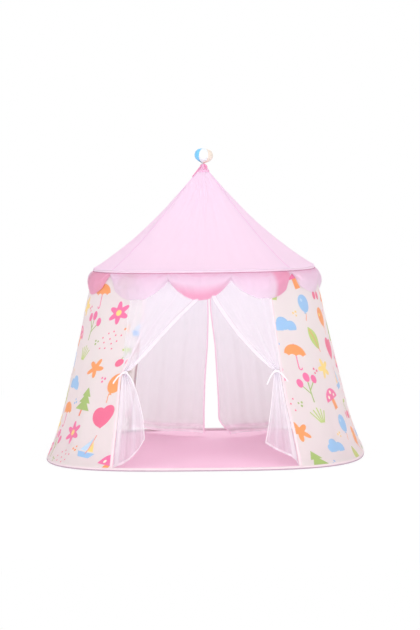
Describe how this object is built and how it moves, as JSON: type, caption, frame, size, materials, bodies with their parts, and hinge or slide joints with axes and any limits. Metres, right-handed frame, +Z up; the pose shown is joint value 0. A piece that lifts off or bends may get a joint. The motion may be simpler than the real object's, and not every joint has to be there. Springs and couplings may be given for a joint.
{
  "type": "kids play tent",
  "caption": "Rounded-square pop-up play tent: printed leaning walls, concave pagoda roof with a scalloped valance, net-curtained doorways and a stuffed ball on the tip.",
  "frame": {"origin": "on the ground under the middle of the floor", "axes": "+Z up, the front doorway faces -Y, and left (-X) and right (+X) are as seen from the front"},
  "size_m": [1.4, 1.4, 1.3506],
  "materials": {
    "hoop_pipe": "semi-matt pipe inside the hems",
    "pole_pipe": "smooth white fibreglass pole",
    "moulding": "moulded plastic",
    "roof_cloth": "thin woven polyester with a soft sheen",
    "wall_cloth": "thin printed polyester",
    "floor_cloth": "plain coated polyester",
    "binding": "sewn hem sleeve",
    "net": "sheer white net",
    "ribbon": "satin ribbon",
    "ball_cloth": "stuffed polyester gores"
  },
  "bodies": {
    "tent": {"base_hoop": "hoop_pipe", "eave_hoop": "hoop_pipe", "foot_cup_front_left": "moulding", "eave_elbow_front_left": "moulding", "pole_ferrule_front_left": "moulding", "wall_pole_lower_front_left": "pole_pipe", "wall_pole_upper_front_left": "pole_pipe", "roof_rod_front_left": "pole_pipe", "wall_front_left": "wall_cloth", "foot_cup_front_right": "moulding", "eave_elbow_front_right": "moulding", "pole_ferrule_front_right": "moulding", "wall_pole_lower_front_right": "pole_pipe", "wall_pole_upper_front_right": "pole_pipe", "roof_rod_front_right": "pole_pipe", "wall_front_right": "wall_cloth", "foot_cup_rear_left": "moulding", "eave_elbow_rear_left": "moulding", "pole_ferrule_rear_left": "moulding", "wall_pole_lower_rear_left": "pole_pipe", "wall_pole_upper_rear_left": "pole_pipe", "roof_rod_rear_left": "pole_pipe", "wall_rear_left": "wall_cloth", "foot_cup_rear_right": "moulding", "eave_elbow_rear_right": "moulding", "pole_ferrule_rear_right": "moulding", "wall_pole_lower_rear_right": "pole_pipe", "wall_pole_upper_rear_right": "pole_pipe", "roof_rod_rear_right": "pole_pipe", "wall_rear_right": "wall_cloth", "apex_hub": "moulding", "floor_sheet": "floor_cloth", "base_binding": "binding", "eave_binding": "roof_cloth", "roof_panel_front": "roof_cloth", "valance_front": "roof_cloth", "roof_panel_rear": "roof_cloth", "valance_rear": "roof_cloth", "roof_panel_left": "roof_cloth", "valance_left": "roof_cloth", "roof_panel_right": "roof_cloth", "valance_right": "roof_cloth", "roof_cap": "roof_cloth", "wall_left": "wall_cloth", "net_front_left": "net", "wall_right": "wall_cloth", "net_front_right": "net", "header_front": "wall_cloth", "header_rear": "wall_cloth"},
    "front_tail_left": {"net_tail_left": "net", "tie_left": "ribbon", "ribbon_inner_left": "ribbon", "ribbon_outer_left": "ribbon"},
    "front_tail_right": {"net_tail_right": "net", "tie_right": "ribbon", "ribbon_inner_right": "ribbon", "ribbon_outer_right": "ribbon"},
    "rear_net_left": {"net_rear_left": "net"},
    "rear_net_right": {"net_rear_right": "net"},
    "ball": {"finial_ball": "ball_cloth"}
  },
  "joints": [
    {"name": "front_tail_left_swing", "type": "hinge", "parent": "tent", "child": "front_tail_left", "pos_m": [-0.33589, -0.54009, 0.40016], "axis": [-0.1292, -0.2865, -0.9493], "range_deg": [-20, 30]},
    {"name": "front_tail_right_swing", "type": "hinge", "parent": "tent", "child": "front_tail_right", "pos_m": [0.33589, -0.54009, 0.40016], "axis": [-0.1292, 0.2865, 0.9493], "range_deg": [-20, 30]},
    {"name": "rear_net_left_swing", "type": "hinge", "parent": "tent", "child": "rear_net_left", "pos_m": [-0.2965, 0.4747, 0.68963], "axis": [0.1303, -0.2575, 0.9574], "range_deg": [-5, 38]},
    {"name": "rear_net_right_swing", "type": "hinge", "parent": "tent", "child": "rear_net_right", "pos_m": [0.2965, 0.4747, 0.68963], "axis": [0.1303, 0.2575, -0.9574], "range_deg": [-5, 38]},
    {"name": "ball_wobble", "type": "hinge", "parent": "tent", "child": "ball", "pos_m": [0, 0, 1.28227], "axis": [0, 1, 0], "range_deg": [-15, 15], "stiffness_Nm_per_rad": 0.05}
  ]
}
